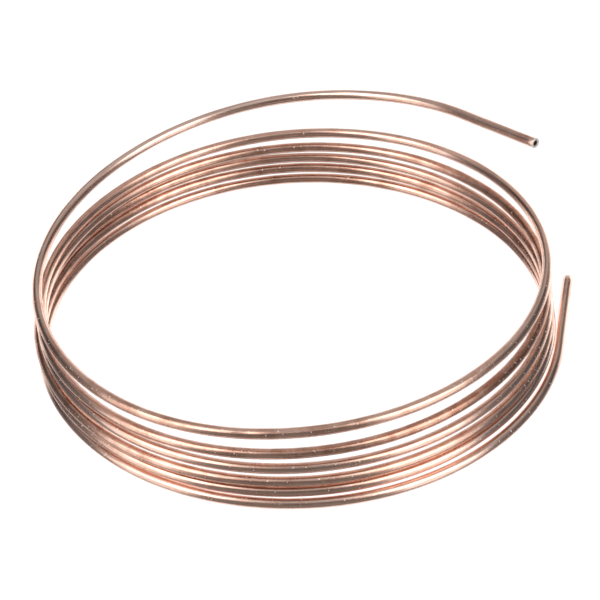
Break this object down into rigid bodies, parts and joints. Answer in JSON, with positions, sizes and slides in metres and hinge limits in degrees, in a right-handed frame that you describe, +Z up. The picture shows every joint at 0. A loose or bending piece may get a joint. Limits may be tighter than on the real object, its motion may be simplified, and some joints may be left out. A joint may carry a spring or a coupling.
{
  "type": "copper tube coil",
  "caption": "Loose coil of thin soft copper tube lying flat, its turns packed at the bottom and sprung open towards a free upper end.",
  "frame": {"origin": "middle of the coil's footprint on the floor it lies on", "axes": "+Z up along the coil's axis; +Y along the straight lower end, towards its cut, at the back right; -Y to the front of the coil; +X to the side where both ends are"},
  "size_m": [0.1564, 0.1542, 0.0459],
  "materials": {
    "drawn_copper": "polished"
  },
  "bodies": {
    "root": {"copper_tube": "drawn_copper"}
  },
  "joints": []
}
